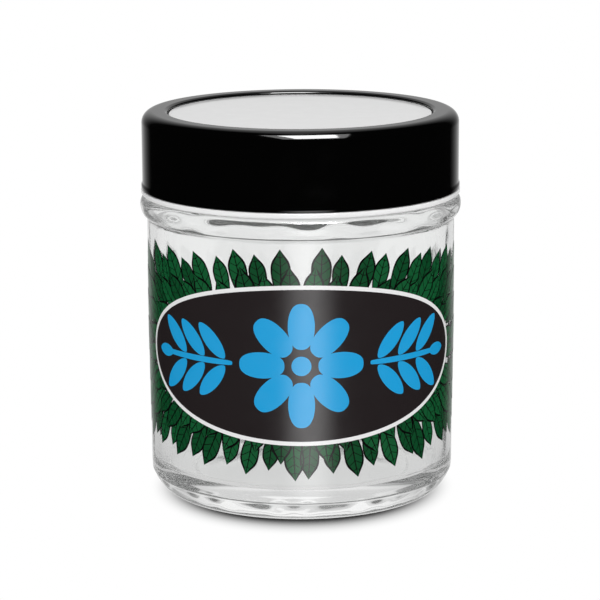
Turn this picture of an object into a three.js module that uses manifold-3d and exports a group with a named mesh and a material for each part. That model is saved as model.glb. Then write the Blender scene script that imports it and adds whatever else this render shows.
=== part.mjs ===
// Airtight screw-top glass jar with a two-piece lid.
// Millimetres, +Z up. The origin is the centre of the base, on the table, and -Y is the front.

import * as THREE from 'three';
import { mergeVertices } from 'three/addons/utils/BufferGeometryUtils.js';
import Module from 'manifold-3d';

const wasm = await Module();
wasm.setup();

// Facets in a full turn, and steps in each curve of a profile
const SEGMENTS = 64;
const CURVE_STEPS = 6;
const ARC_DIVISIONS = CURVE_STEPS / 2;

// Glass body: a nearly straight wall on a rounded heel, with a domed underside inside a flat bearing ring
const BODY_TOP_RADIUS = 37.0;
const BODY_FOOT_RADIUS = 36.65;
const HEEL_RADIUS = 6.9;
const BEARING_RING_WIDTH = 4.0;
const PUSH_UP = 2.0;

// Transfer bead: the rounded ring under the lid, a quarter of an ellipse below its middle and one above
const BEAD_RADIUS = 38.55;
const BEAD_FOOT_Z = 67.8;
const BEAD_MIDDLE_Z = 70.65;
const BEAD_TOP_Z = 72.75;

// Neck and mouth: a 70 mm wide-mouth finish
const NECK_RADIUS = 33.6;
const NECK_FILLET = 1.0;
const BORE_RADIUS = 31.0;
const RIM_Z = 88.65;
const RIM_ROUNDING = 0.65;

// Inside of the jar: a straight cavity, a groove where the blown wall follows the bead, and the bore above
const CAVITY_TOP_RADIUS = 32.8;
const CAVITY_FOOT_RADIUS = 32.6;
const CAVITY_TOP_Z = 66.0;
const GROOVE_RADIUS = 34.4;
const GROOVE_Z = 70.0;
const BORE_FOOT_Z = 72.5;
const FLOOR_Z = 7.8;
const FLOOR_ROUNDING = 1.6;

// Screw thread: right-handed, five turns to the inch, a raised ridge on the neck and another in the cap
const THREAD_PITCH = 25.4 / 5;
const THREAD_HEIGHT = 1.2;
const THREAD_ROOT_HALF_WIDTH = 1.2;
const THREAD_CREST_HALF_WIDTH = 0.55;
const THREAD_BEDDING = 0.5;
const THREAD_RUN_OUT_TURNS = 0.09;
const NECK_THREAD_FOOT_Z = 77.4;
const NECK_THREAD_TURNS = 1.5;
const CAP_THREAD_DROP = 1.9;
const CAP_THREAD_START_TURN = 0.15;
const CAP_THREAD_TURNS = 1.25;

// Lid shell: the black outer ring with its rounded top edge, bevelled window opening and flared foot
const SHELL_RADIUS = 38.0;
const SHELL_TOP_Z = 92.9;
const SHELL_FOOT_Z = 74.5;
const SHELL_TOP_ROUNDING = 2.8;
const SHELL_WALL = 1.25;
const SHELL_ROOF = 1.5;
const OPENING_RADIUS = 31.7;
const OPENING_BEVEL_WIDTH = 0.7;
const OPENING_BEVEL_DEPTH = 0.45;
const FLARE = 0.25;
const FLARE_HEIGHT = 1.0;
const FLARE_TOP_Z = 76.1;
const SHELL_FOOT_ROUNDING = 0.3;

// Milky inner cap: the window boss, the skirt inside the shell, and the flange under the shell
const WINDOW_RECESS = 0.75;
const CAP_CLEARANCE = 0.2;
const CAP_SKIRT = 1.4;
const CAP_UNDERSIDE_Z = 90.0;
const FLANGE_RADIUS = 38.3;
const FLANGE_TOP_Z = 74.4;
const FLANGE_FOOT_Z = 73.1;
const FLANGE_ROUNDING = 0.4;

// Seal ring: lies between the rim and the cap
const SEAL_INNER_RADIUS = 31.4;
const SEAL_OUTER_RADIUS = 34.85;
const SEAL_CLEARANCE = 0.07;
const SEAL_ROUNDING = 0.3;

// Sizes that follow from the ones above
const HEEL_CENTRE_RADIUS = BODY_FOOT_RADIUS - HEEL_RADIUS;
const BEARING_INNER_RADIUS = HEEL_CENTRE_RADIUS - BEARING_RING_WIDTH;
const SHELL_INNER_RADIUS = SHELL_RADIUS - SHELL_WALL;
const CAP_OUTER_RADIUS = SHELL_INNER_RADIUS - CAP_CLEARANCE;
const CAP_INNER_RADIUS = CAP_OUTER_RADIUS - CAP_SKIRT;
const CAP_SHOULDER_Z = SHELL_TOP_Z - SHELL_ROOF - CAP_CLEARANCE;
const BOSS_RADIUS = OPENING_RADIUS - CAP_CLEARANCE;
const BOSS_TOP_Z = SHELL_TOP_Z - WINDOW_RECESS;

const RIGHT = 0;
const UP = Math.PI / 2;
const DOWN = -Math.PI / 2;

// Vertices are shared and triangles of no area are dropped, so that the mesh is one closed surface
function sealed(geometry) {
  geometry.deleteAttribute('normal');
  geometry.deleteAttribute('uv');
  const merged = mergeVertices(geometry, 1e-4);
  const corners = merged.index.array;
  const kept = [];
  for (let i = 0; i < corners.length; i += 3) {
    const [a, b, c] = corners.slice(i, i + 3);
    if (a !== b && b !== c && c !== a) kept.push(a, b, c);
  }
  merged.setIndex(kept);
  return merged;
}

// A profile of radius and height, spun about +Z with its solid on the left of its direction
function spun(profile) {
  const lathe = new THREE.LatheGeometry(profile.getPoints(ARC_DIVISIONS), SEGMENTS);
  lathe.rotateX(UP);
  return sealed(lathe);
}

// An S-shaped curve on from the end of a profile, upright at both ends
function easeTo(profile, radius, height) {
  const start = profile.currentPoint.clone();
  const middle = (start.y + height) / 2;
  profile.bezierCurveTo(start.x, middle, radius, middle, radius, height);
}

function toSolid(geometry) {
  const vertProperties = new Float32Array(geometry.attributes.position.array);
  const triVerts = new Uint32Array(geometry.index.array);
  return new wasm.Manifold(new wasm.Mesh({ numProp: 3, vertProperties, triVerts }));
}

function joined(first, second) {
  const mesh = toSolid(first).add(toSolid(second)).getMesh();
  const geometry = new THREE.BufferGeometry();
  geometry.setAttribute('position', new THREE.BufferAttribute(mesh.vertProperties, 3));
  geometry.setIndex(new THREE.BufferAttribute(mesh.triVerts, 1));
  return geometry;
}

// A helical ridge: a four-sided section on a wall, which rises one pitch a turn and runs out at both ends.
// side is +1 for a ridge that stands out from the axis and -1 for one that points at it.
function threadRidge({ wallRadius, side, footZ, startTurn, turns }) {
  const steps = Math.round(turns * SEGMENTS);
  const positions = [];
  for (let step = 0; step <= steps; step += 1) {
    const turn = startTurn + step / SEGMENTS;
    const travelled = step / SEGMENTS;
    const nearestEnd = Math.min(travelled, turns - travelled);
    const fullness = THREE.MathUtils.smoothstep(nearestEnd, 0, THREAD_RUN_OUT_TURNS);
    const bedded = wallRadius - side * THREAD_BEDDING;
    const lowest = wallRadius - side * THREAD_BEDDING / 2;
    const crest = THREE.MathUtils.lerp(lowest, wallRadius + side * THREAD_HEIGHT, fullness);
    const height = footZ + turn * THREAD_PITCH;
    const section = [
      [bedded, -THREAD_ROOT_HALF_WIDTH],
      [crest, -THREAD_CREST_HALF_WIDTH],
      [crest, THREAD_CREST_HALF_WIDTH],
      [bedded, THREAD_ROOT_HALF_WIDTH],
    ];
    const angle = turn * 2 * Math.PI;
    for (const [radius, offset] of section) {
      positions.push(radius * Math.cos(angle), radius * Math.sin(angle), height + offset);
    }
  }
  const sides = 4;
  const index = [];
  const addTriangle = (a, b, c) => (side > 0 ? index.push(a, b, c) : index.push(a, c, b));
  for (let step = 0; step < steps; step += 1) {
    for (let k = 0; k < sides; k += 1) {
      const here = step * sides + k;
      const next = step * sides + (k + 1) % sides;
      addTriangle(here, next + sides, next);
      addTriangle(here, here + sides, next + sides);
    }
  }
  const last = steps * sides;
  addTriangle(0, 1, 2);
  addTriangle(0, 2, 3);
  addTriangle(last, last + 2, last + 1);
  addTriangle(last, last + 3, last + 2);
  const ridge = new THREE.BufferGeometry();
  ridge.setAttribute('position', new THREE.BufferAttribute(new Float32Array(positions), 3));
  ridge.setIndex(index);
  return ridge;
}

// Glass jar: one closed profile from the middle of the underside, up the outside and down the inside
function glassJar() {
  const domeRadius = (BEARING_INNER_RADIUS ** 2 + PUSH_UP ** 2) / (2 * PUSH_UP);
  const domeReach = Math.asin(BEARING_INNER_RADIUS / domeRadius);
  const profile = new THREE.Path();
  profile.absarc(0, PUSH_UP - domeRadius, domeRadius, UP, UP - domeReach, true);
  profile.lineTo(HEEL_CENTRE_RADIUS, 0);
  profile.absarc(HEEL_CENTRE_RADIUS, HEEL_RADIUS, HEEL_RADIUS, DOWN, RIGHT, false);
  profile.lineTo(BODY_TOP_RADIUS, BEAD_FOOT_Z);
  const beadHeight = BEAD_RADIUS - BODY_TOP_RADIUS;
  const beadUnder = BEAD_MIDDLE_Z - BEAD_FOOT_Z;
  const beadOver = BEAD_TOP_Z - BEAD_MIDDLE_Z;
  profile.absellipse(BODY_TOP_RADIUS, BEAD_MIDDLE_Z, beadHeight, beadUnder, DOWN, RIGHT, false, 0);
  profile.absellipse(BODY_TOP_RADIUS, BEAD_MIDDLE_Z, beadHeight, beadOver, RIGHT, UP, false, 0);
  profile.lineTo(NECK_RADIUS + NECK_FILLET, BEAD_TOP_Z);
  profile.quadraticCurveTo(NECK_RADIUS, BEAD_TOP_Z, NECK_RADIUS, BEAD_TOP_Z + NECK_FILLET);
  profile.lineTo(NECK_RADIUS, RIM_Z - RIM_ROUNDING);
  profile.quadraticCurveTo(NECK_RADIUS, RIM_Z, NECK_RADIUS - RIM_ROUNDING, RIM_Z);
  profile.lineTo(BORE_RADIUS + RIM_ROUNDING, RIM_Z);
  profile.quadraticCurveTo(BORE_RADIUS, RIM_Z, BORE_RADIUS, RIM_Z - RIM_ROUNDING);
  profile.lineTo(BORE_RADIUS, BORE_FOOT_Z);
  easeTo(profile, GROOVE_RADIUS, GROOVE_Z);
  easeTo(profile, CAVITY_TOP_RADIUS, CAVITY_TOP_Z);
  profile.lineTo(CAVITY_FOOT_RADIUS, FLOOR_Z + FLOOR_ROUNDING);
  const cornerRadius = CAVITY_FOOT_RADIUS - FLOOR_ROUNDING;
  profile.absarc(cornerRadius, FLOOR_Z + FLOOR_ROUNDING, FLOOR_ROUNDING, RIGHT, DOWN, true);
  profile.lineTo(0, FLOOR_Z);
  const thread = threadRidge({
    wallRadius: NECK_RADIUS,
    side: 1,
    footZ: NECK_THREAD_FOOT_Z,
    startTurn: 0,
    turns: NECK_THREAD_TURNS,
  });
  return joined(spun(profile), thread);
}

// Seal ring: a flat washer with rounded corners
function sealRing() {
  const foot = RIM_Z + SEAL_CLEARANCE;
  const top = CAP_UNDERSIDE_Z - SEAL_CLEARANCE;
  const inner = SEAL_INNER_RADIUS + SEAL_ROUNDING;
  const outer = SEAL_OUTER_RADIUS - SEAL_ROUNDING;
  const profile = new THREE.Path();
  profile.moveTo(inner, foot);
  profile.lineTo(outer, foot);
  profile.quadraticCurveTo(SEAL_OUTER_RADIUS, foot, SEAL_OUTER_RADIUS, foot + SEAL_ROUNDING);
  profile.lineTo(SEAL_OUTER_RADIUS, top - SEAL_ROUNDING);
  profile.quadraticCurveTo(SEAL_OUTER_RADIUS, top, outer, top);
  profile.lineTo(inner, top);
  profile.quadraticCurveTo(SEAL_INNER_RADIUS, top, SEAL_INNER_RADIUS, top - SEAL_ROUNDING);
  profile.lineTo(SEAL_INNER_RADIUS, foot + SEAL_ROUNDING);
  profile.quadraticCurveTo(SEAL_INNER_RADIUS, foot, inner, foot);
  return spun(profile);
}

// Milky inner cap: from the underside of the window out and down the skirt, round the flange and back up
function lidInnerCap() {
  const profile = new THREE.Path();
  profile.moveTo(0, CAP_UNDERSIDE_Z);
  profile.lineTo(CAP_INNER_RADIUS, CAP_UNDERSIDE_Z);
  profile.lineTo(CAP_INNER_RADIUS, FLANGE_FOOT_Z);
  profile.lineTo(FLANGE_RADIUS - FLANGE_ROUNDING, FLANGE_FOOT_Z);
  profile.quadraticCurveTo(
    FLANGE_RADIUS, FLANGE_FOOT_Z,
    FLANGE_RADIUS, FLANGE_FOOT_Z + FLANGE_ROUNDING,
  );
  profile.lineTo(FLANGE_RADIUS, FLANGE_TOP_Z - FLANGE_ROUNDING);
  profile.quadraticCurveTo(FLANGE_RADIUS, FLANGE_TOP_Z, FLANGE_RADIUS - FLANGE_ROUNDING, FLANGE_TOP_Z);
  profile.lineTo(CAP_OUTER_RADIUS, FLANGE_TOP_Z);
  profile.lineTo(CAP_OUTER_RADIUS, CAP_SHOULDER_Z);
  profile.lineTo(BOSS_RADIUS, CAP_SHOULDER_Z);
  profile.lineTo(BOSS_RADIUS, BOSS_TOP_Z);
  profile.lineTo(0, BOSS_TOP_Z);
  const thread = threadRidge({
    wallRadius: CAP_INNER_RADIUS,
    side: -1,
    footZ: NECK_THREAD_FOOT_Z - CAP_THREAD_DROP,
    startTurn: CAP_THREAD_START_TURN,
    turns: CAP_THREAD_TURNS,
  });
  return joined(spun(profile), thread);
}

// Black outer shell: a ring that closes on itself, from its foot up the outside and down the inside
function lidOuterShell() {
  const footRadius = SHELL_RADIUS + FLARE;
  const roofZ = SHELL_TOP_Z - SHELL_ROOF;
  const roundingCentre = SHELL_RADIUS - SHELL_TOP_ROUNDING;
  const profile = new THREE.Path();
  profile.moveTo(SHELL_INNER_RADIUS, SHELL_FOOT_Z);
  profile.lineTo(footRadius - SHELL_FOOT_ROUNDING, SHELL_FOOT_Z);
  profile.quadraticCurveTo(footRadius, SHELL_FOOT_Z, footRadius, SHELL_FOOT_Z + SHELL_FOOT_ROUNDING);
  profile.lineTo(footRadius, FLARE_TOP_Z - FLARE_HEIGHT);
  profile.lineTo(SHELL_RADIUS, FLARE_TOP_Z);
  profile.lineTo(SHELL_RADIUS, SHELL_TOP_Z - SHELL_TOP_ROUNDING);
  profile.absarc(roundingCentre, SHELL_TOP_Z - SHELL_TOP_ROUNDING, SHELL_TOP_ROUNDING, RIGHT, UP, false);
  profile.lineTo(OPENING_RADIUS + OPENING_BEVEL_WIDTH, SHELL_TOP_Z);
  profile.lineTo(OPENING_RADIUS, SHELL_TOP_Z - OPENING_BEVEL_DEPTH);
  profile.lineTo(OPENING_RADIUS, roofZ);
  profile.lineTo(SHELL_INNER_RADIUS, roofZ);
  profile.lineTo(SHELL_INNER_RADIUS, SHELL_FOOT_Z);
  return spun(profile);
}

function piece(name, geometry, finish) {
  geometry.computeVertexNormals();
  const mesh = new THREE.Mesh(geometry, new THREE.MeshStandardMaterial(finish));
  mesh.name = name;
  return mesh;
}

const clearGlass = { color: 0xe6eaea, roughness: 0.03, metalness: 0, transparent: true, opacity: 0.35 };
const paleSilicone = { color: 0xe4e4e0, roughness: 0.55, metalness: 0 };
const milkyPlastic = { color: 0xe8eaea, roughness: 0.1, metalness: 0, transparent: true, opacity: 0.85 };
const blackPlastic = { color: 0x060606, roughness: 0.16, metalness: 0 };

const jar = new THREE.Group();
jar.add(piece('glass_jar', glassJar(), clearGlass));
jar.add(piece('seal_ring', sealRing(), paleSilicone));

const lid = new THREE.Group();
lid.add(piece('lid_inner_cap', lidInnerCap(), milkyPlastic));
lid.add(piece('lid_outer_shell', lidOuterShell(), blackPlastic));
jar.add(lid);

export default jar;
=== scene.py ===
# %% [markdown]
# # A screw-top glass jar with a windowed lid
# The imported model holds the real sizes, the four pieces and the bodies that move. This lesson gives each
# piece the smooth surface and the finish of the real thing. Everything is a surface worked out with numpy:
# a jar, its lid and its seal are all turned shapes, so a profile carried round the axis makes them best.

# %% Load the frame
import math

import bpy
import numpy as np
from mathutils import Matrix, Vector


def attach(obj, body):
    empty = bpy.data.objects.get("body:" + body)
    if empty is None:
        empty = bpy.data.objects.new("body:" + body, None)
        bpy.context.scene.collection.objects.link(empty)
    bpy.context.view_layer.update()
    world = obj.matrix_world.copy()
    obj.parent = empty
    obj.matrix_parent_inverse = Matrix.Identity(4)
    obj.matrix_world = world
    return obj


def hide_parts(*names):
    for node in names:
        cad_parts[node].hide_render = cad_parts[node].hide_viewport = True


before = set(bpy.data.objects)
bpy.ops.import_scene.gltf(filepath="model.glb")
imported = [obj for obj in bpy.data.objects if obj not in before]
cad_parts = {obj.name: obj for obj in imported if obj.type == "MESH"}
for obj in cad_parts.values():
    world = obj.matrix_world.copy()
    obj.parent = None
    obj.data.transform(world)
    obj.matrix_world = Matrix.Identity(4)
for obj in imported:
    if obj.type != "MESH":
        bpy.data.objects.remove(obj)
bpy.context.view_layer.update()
MM = 0.001

# %% [markdown]
# ## The camera
# The photograph is a long-lens view, a little above the jar. Its place was found by matching the ellipses
# of the lid, the bead and the base, so the camera is set from those numbers and never from a guess. The
# small roll is the lean of the jar's middle line in the frame.

# %% Place the camera
FRAME_PIXELS = 600
FOCAL_PIXELS = 2683
SENSOR_WIDTH = 36.0
CAMERA_PLACE = (-0.00026, -0.637, 0.1835)
CAMERA_PITCH = math.radians(12.17)
CAMERA_ROLL = math.radians(-0.27)

camera_data = bpy.data.cameras.new("photo_camera")
camera_data.sensor_width = SENSOR_WIDTH
camera_data.lens = FOCAL_PIXELS / FRAME_PIXELS * SENSOR_WIDTH
camera = bpy.data.objects.new("photo_camera", camera_data)
tilt = Matrix.Rotation(math.pi / 2 - CAMERA_PITCH, 4, "X") @ Matrix.Rotation(CAMERA_ROLL, 4, "Z")
camera.matrix_world = Matrix.Translation(CAMERA_PLACE) @ tilt
bpy.context.scene.collection.objects.link(camera)
bpy.context.scene.camera = camera
print(f"camera lens {camera_data.lens:.1f} mm")

# %% [markdown]
# ## Drawing a profile
# A turned piece starts as half of its section: radius across, height up, in millimetres. Three kinds of
# run draw any profile: a straight one, a round one and a Bezier sweep. The runs keep their names, so that
# a later step can find the neck or the inner wall again and press a thread or a ripple into it.

# %% Runs of a profile
SAME_POINT = 1e-6


def straight(start, end, spacing):
    """Points start + t (end - start), about spacing apart."""
    start, end = np.asarray(start, float), np.asarray(end, float)
    count = max(1, round(float(np.linalg.norm(end - start)) / spacing))
    return start + np.linspace(0, 1, count + 1)[:, None] * (end - start)


def bend(centre, radius, start_degrees, end_degrees, steps):
    """Points on a circle or an ellipse: centre + radius (cos a, sin a), with a even from start to end."""
    a = np.radians(np.linspace(start_degrees, end_degrees, steps + 1))
    return np.asarray(centre) + np.asarray(radius) * np.stack([np.cos(a), np.sin(a)], axis=1)


def sweep(*controls, steps):
    """A Bezier curve: the sum of each control point times its Bernstein weight at t."""
    t = np.linspace(0, 1, steps + 1)[:, None]
    n = len(controls) - 1
    weights = [math.comb(n, k) * t**k * (1 - t) ** (n - k) for k in range(n + 1)]
    return sum(weight * np.asarray(point, float) for weight, point in zip(weights, controls))


def outline(**runs):
    """The runs end to end, without the points that repeat, and the run that each point belongs to."""
    points = np.vstack(list(runs.values()))
    names = np.repeat(list(runs), [len(run) for run in runs.values()])
    fresh = np.r_[True, np.linalg.norm(np.diff(points, axis=0), axis=1) > SAME_POINT]
    return points[fresh], names[fresh]


print("a quarter bend of radius 1 ends at", bend((0, 0), 1, 0, 90, steps=16)[-1].round(3))

# %% [markdown]
# ## Turning a profile into a piece
# The profile is carried round the axis on an even grid of angles. Where it meets the axis the grid closes
# to one point, and where it is a ring its last row joins its first. Either way the mesh is one closed skin
# facing out, which is what glass needs: light has to know when it is inside.

# %% Turned surfaces
SHARP_EDGE_DEGREES = 50


def around(sides):
    """Angles round the axis, as a column."""
    return (np.arange(sides) * 2 * np.pi / sides)[:, None]


def turn(radius, height, sides):
    """The surface (r cos a, r sin a, z). Radius and height may change with the angle a as well."""
    a = around(sides)
    z = height + 0 * a
    return np.stack([radius * np.cos(a), radius * np.sin(a), z], axis=-1)


def turned_mesh(name, grid, ring):
    """Quads between neighbouring angles and points. A ring closes on itself, other profiles on the axis."""
    sides = len(grid)
    body = grid if ring else grid[:, 1:-1]
    count = body.shape[1]
    here = np.arange(sides * count).reshape(sides, count)
    beside = np.roll(here, -1, axis=0)
    if ring:
        here_up, beside_up = np.roll(here, -1, axis=1), np.roll(beside, -1, axis=1)
        quads = np.stack([here, beside, beside_up, here_up], axis=-1)
        points, caps = body.reshape(-1, 3), []
    else:
        quads = np.stack([here[:, :-1], beside[:, :-1], beside[:, 1:], here[:, 1:]], axis=-1)
        points = np.vstack([body.reshape(-1, 3), grid[0, :1], grid[0, -1:]])
        first, last = np.full(sides, sides * count), np.full(sides, sides * count + 1)
        start = np.stack([first, beside[:, 0], here[:, 0]], axis=-1)
        end = np.stack([here[:, -1], beside[:, -1], last], axis=-1)
        caps = np.vstack([start, end]).tolist()
    mesh = bpy.data.meshes.new(name)
    mesh.from_pydata(points * MM, [], quads.reshape(-1, 4).tolist() + caps)
    return mesh


def make_piece(name, mesh, materials, body, node=None):
    """A smooth-shaded object at the origin that rides on a body, and may stand for a CAD node."""
    mesh.polygons.foreach_set("use_smooth", np.ones(len(mesh.polygons), bool))
    for material in materials:
        mesh.materials.append(material)
    mesh.set_sharp_from_angle(angle=math.radians(SHARP_EDGE_DEGREES))
    piece = bpy.data.objects.new(name, mesh)
    bpy.context.scene.collection.objects.link(piece)
    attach(piece, body)
    if node:
        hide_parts(node)
    corners = np.empty(3 * len(mesh.vertices))
    mesh.vertices.foreach_get("co", corners)
    size = np.ptp(corners.reshape(-1, 3), axis=0) / MM
    print(f"{name}: {len(mesh.polygons)} faces, {size.round(1)} mm")


print("edges over", SHARP_EDGE_DEGREES, "degrees stay sharp")

# %% [markdown]
# ## Wiring a material
# Each finish is one Principled shader. Values that are the same all over are set on its own sockets, and
# nodes drive only what changes over the surface. Noise on the piece's own coordinates gives the drift in
# gloss and the fine bumps, and it stays put when a piece moves.

# %% Material helpers
NOISE_DETAIL = 3.0
NOISE_LOW, NOISE_HIGH = 0.3, 0.7


def new_finish(name, **values):
    """A material with one Principled shader, whose named sockets are set."""
    material = bpy.data.materials.new(name)
    material.use_nodes = True
    shader = material.node_tree.nodes["Principled BSDF"]
    for socket, value in values.items():
        shader.inputs[socket.replace("_", " ")].default_value = value
    return material, material.node_tree, shader


def add_node(tree, kind, inputs=None, **settings):
    """A node with its settings, whose inputs are values or the outputs of other nodes."""
    node = tree.nodes.new(kind)
    for key, value in settings.items():
        setattr(node, key, value)
    for key, value in (inputs or {}).items():
        if isinstance(value, bpy.types.NodeSocket):
            tree.links.new(value, node.inputs[key])
        else:
            node.inputs[key].default_value = value
    return node


def ramp(tree, value, low, high, to_low=0.0, to_high=1.0):
    """A value mapped smoothly from low..high to to_low..to_high."""
    inputs = {"Value": value, "From Min": low, "From Max": high, "To Min": to_low, "To Max": to_high}
    return add_node(tree, "ShaderNodeMapRange", inputs, interpolation_type="SMOOTHSTEP").outputs[0]


def math_node(tree, operation, *values):
    """One arithmetic node."""
    return add_node(tree, "ShaderNodeMath", dict(enumerate(values)), operation=operation).outputs[0]


def blend(tree, share, low, high):
    """A colour between low and high. A Mix node has its colours at inputs 6 and 7 and at output 2."""
    return add_node(tree, "ShaderNodeMix", {0: share, 6: low, 7: high}, data_type="RGBA").outputs[2]


def speckle(tree, scale):
    """Fine noise on the piece's own coordinates, from about 0 to 1."""
    place = add_node(tree, "ShaderNodeTexCoord").outputs["Object"]
    inputs = {"Vector": place, "Scale": scale, "Detail": NOISE_DETAIL}
    return add_node(tree, "ShaderNodeTexNoise", inputs).outputs[0]


def roughen(tree, shader, low, high, scale):
    """Roughness that drifts between low and high."""
    drift = ramp(tree, speckle(tree, scale), NOISE_LOW, NOISE_HIGH, low, high)
    tree.links.new(drift, shader.inputs["Roughness"])


def dimple(tree, shader, scale, height):
    """A fine bump of that height in metres."""
    bump = add_node(tree, "ShaderNodeBump", {"Height": speckle(tree, scale), "Distance": height})
    tree.links.new(bump.outputs[0], shader.inputs["Normal"])


print("gloss drifts where the noise is between", NOISE_LOW, "and", NOISE_HIGH)

# %% [markdown]
# ## The glass jar
# The jar is blown in a mould: thick walls, a heavy base with a push-up, and a bead under the neck. The
# profile runs from the middle of the underside, up the outside, over the rim and down the inside. Blown
# glass keeps about the same thickness, so the inside follows the bead with a shallow groove. That matters
# to the eye: without the groove the bead is a strong lens and shows the dark inside of the lid.

# %% Profile of the glass
BODY_TOP_RADIUS, BODY_FOOT_RADIUS = 37.0, 36.65
HEEL_RADIUS = 6.9
BEARING_RING_WIDTH, STIPPLE_WIDTH = 4.0, 1.4
PUSH_UP = 2.0
BEAD_RADIUS = 38.55
BEAD_FOOT_Z, BEAD_MIDDLE_Z, BEAD_TOP_Z = 67.8, 70.65, 72.75
BEAD_FILLET, BEAD_FILLET_END_DEGREES = 0.5, -62
NECK_RADIUS, BORE_RADIUS = 33.6, 31.0
NECK_FILLET = 1.0
RIM_Z, RIM_ROUNDING = 88.65, 0.65
CAVITY_TOP_RADIUS, CAVITY_FOOT_RADIUS = 32.8, 32.6
BORE_FOOT_Z, CAVITY_TOP_Z = 72.5, 66.0
GROOVE_RADIUS, GROOVE_Z = 34.4, 70.0
FLOOR_Z, FLOOR_ROUNDING = 7.8, 1.6


def glass_profile():
    """Radius and height of the jar's section, from the underside round to the floor inside."""
    heel = BODY_FOOT_RADIUS - HEEL_RADIUS
    ring = heel - BEARING_RING_WIDTH
    wall_top = (BODY_TOP_RADIUS, BEAD_FOOT_Z - BEAD_FILLET)
    bead_middle = (BODY_TOP_RADIUS, BEAD_MIDDLE_Z)
    bead_height = BEAD_RADIUS - BODY_TOP_RADIUS
    lower_half = (bead_height, BEAD_MIDDLE_Z - BEAD_FOOT_Z)
    upper_half = (bead_height, BEAD_TOP_Z - BEAD_MIDDLE_Z)
    bead_under = bend(bead_middle, lower_half, BEAD_FILLET_END_DEGREES, 0, steps=13)
    neck_foot, neck_foot_z = NECK_RADIUS + NECK_FILLET, BEAD_TOP_Z + NECK_FILLET
    neck_top_z = RIM_Z - RIM_ROUNDING
    rim_outer, rim_inner = NECK_RADIUS - RIM_ROUNDING, BORE_RADIUS + RIM_ROUNDING
    flare_z = (BORE_FOOT_Z + GROOVE_Z) / 2
    groove_z = (GROOVE_Z + CAVITY_TOP_Z) / 2
    corner, corner_z = CAVITY_FOOT_RADIUS - FLOOR_ROUNDING, FLOOR_Z + FLOOR_ROUNDING
    return outline(
        dome=sweep((0, PUSH_UP), (ring / 2, PUSH_UP), (ring, 0), steps=8),
        stipple=straight((ring, 0), (ring + STIPPLE_WIDTH, 0), spacing=0.2),
        bearing=straight((ring + STIPPLE_WIDTH, 0), (heel, 0), spacing=1.5),
        heel=bend((heel, HEEL_RADIUS), HEEL_RADIUS, -90, 0, steps=29),
        wall=straight((BODY_FOOT_RADIUS, HEEL_RADIUS), wall_top, spacing=20),
        bead_root=sweep(wall_top, (BODY_TOP_RADIUS, BEAD_FOOT_Z), bead_under[0], steps=6),
        bead_under=bead_under,
        bead_over=bend(bead_middle, upper_half, 0, 90, steps=13),
        shoulder=straight((BODY_TOP_RADIUS, BEAD_TOP_Z), (neck_foot, BEAD_TOP_Z), spacing=1),
        fillet=bend((neck_foot, neck_foot_z), NECK_FILLET, -90, -180, steps=6),
        neck=straight((NECK_RADIUS, neck_foot_z), (NECK_RADIUS, neck_top_z), spacing=0.6),
        rim_out=bend((rim_outer, neck_top_z), RIM_ROUNDING, 0, 90, steps=5),
        rim=straight((rim_outer, RIM_Z), (rim_inner, RIM_Z), spacing=1),
        rim_in=bend((rim_inner, neck_top_z), RIM_ROUNDING, 90, 180, steps=5),
        bore=straight((BORE_RADIUS, neck_top_z), (BORE_RADIUS, BORE_FOOT_Z), spacing=2),
        flare=sweep(
            (BORE_RADIUS, BORE_FOOT_Z), (BORE_RADIUS, flare_z),
            (GROOVE_RADIUS, flare_z), (GROOVE_RADIUS, GROOVE_Z), steps=15,
        ),
        groove=sweep(
            (GROOVE_RADIUS, GROOVE_Z), (GROOVE_RADIUS, groove_z),
            (CAVITY_TOP_RADIUS, groove_z), (CAVITY_TOP_RADIUS, CAVITY_TOP_Z), steps=14,
        ),
        cavity=straight((CAVITY_TOP_RADIUS, CAVITY_TOP_Z), (CAVITY_FOOT_RADIUS, corner_z), spacing=5),
        corner=bend((corner, corner_z), FLOOR_ROUNDING, 0, -90, steps=12),
        floor=straight((corner, FLOOR_Z), (0, FLOOR_Z), spacing=9),
    )


print(f"glass wall {BODY_TOP_RADIUS - CAVITY_TOP_RADIUS:.1f} mm, floor {FLOOR_Z - PUSH_UP:.1f} mm")

# %% [markdown]
# ### The thread
# A thread could be a coil swept round the neck and joined to it, but the joint would leave a messy edge in
# the glass. Here the neck's own points move out by the ridge's height, which is a formula of angle and
# height, so the skin stays one piece. The same formula, turned inwards, gives the lid its thread.

# %% Thread ridge
THREADS_PER_INCH, INCH = 5, 25.4
THREAD_PITCH = INCH / THREADS_PER_INCH
THREAD_HEIGHT = 1.2
THREAD_ROOT_HALF, THREAD_CREST_HALF = 1.2, 0.55
THREAD_RUN_OUT_TURNS = 0.09
NECK_THREAD_FOOT_Z, NECK_THREAD_TURNS = 77.4, 1.5


def smooth_step(x, low, high):
    """3 t^2 - 2 t^3, where t goes from 0 at low to 1 at high."""
    t = np.clip((x - low) / (high - low), 0, 1)
    return t * t * (3 - 2 * t)


def thread_ridge(z, sides, foot_z, first_turn, turns):
    """A ridge's height over a wall: its crest is at z = foot + pitch x turn, and its flanks slope."""
    turn_here = around(sides) / (2 * np.pi)
    turn_there = turn_here + np.round((z - foot_z) / THREAD_PITCH - turn_here)
    offset = np.abs(z - foot_z - turn_there * THREAD_PITCH)
    flank = smooth_step(offset, THREAD_ROOT_HALF, THREAD_CREST_HALF)
    last_turn = first_turn + turns
    start = smooth_step(turn_there, first_turn, first_turn + THREAD_RUN_OUT_TURNS)
    end = smooth_step(turn_there, last_turn, last_turn - THREAD_RUN_OUT_TURNS)
    return THREAD_HEIGHT * flank * start * end


print(f"thread pitch {THREAD_PITCH:.2f} mm, {NECK_THREAD_TURNS} turns on the neck")

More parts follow.
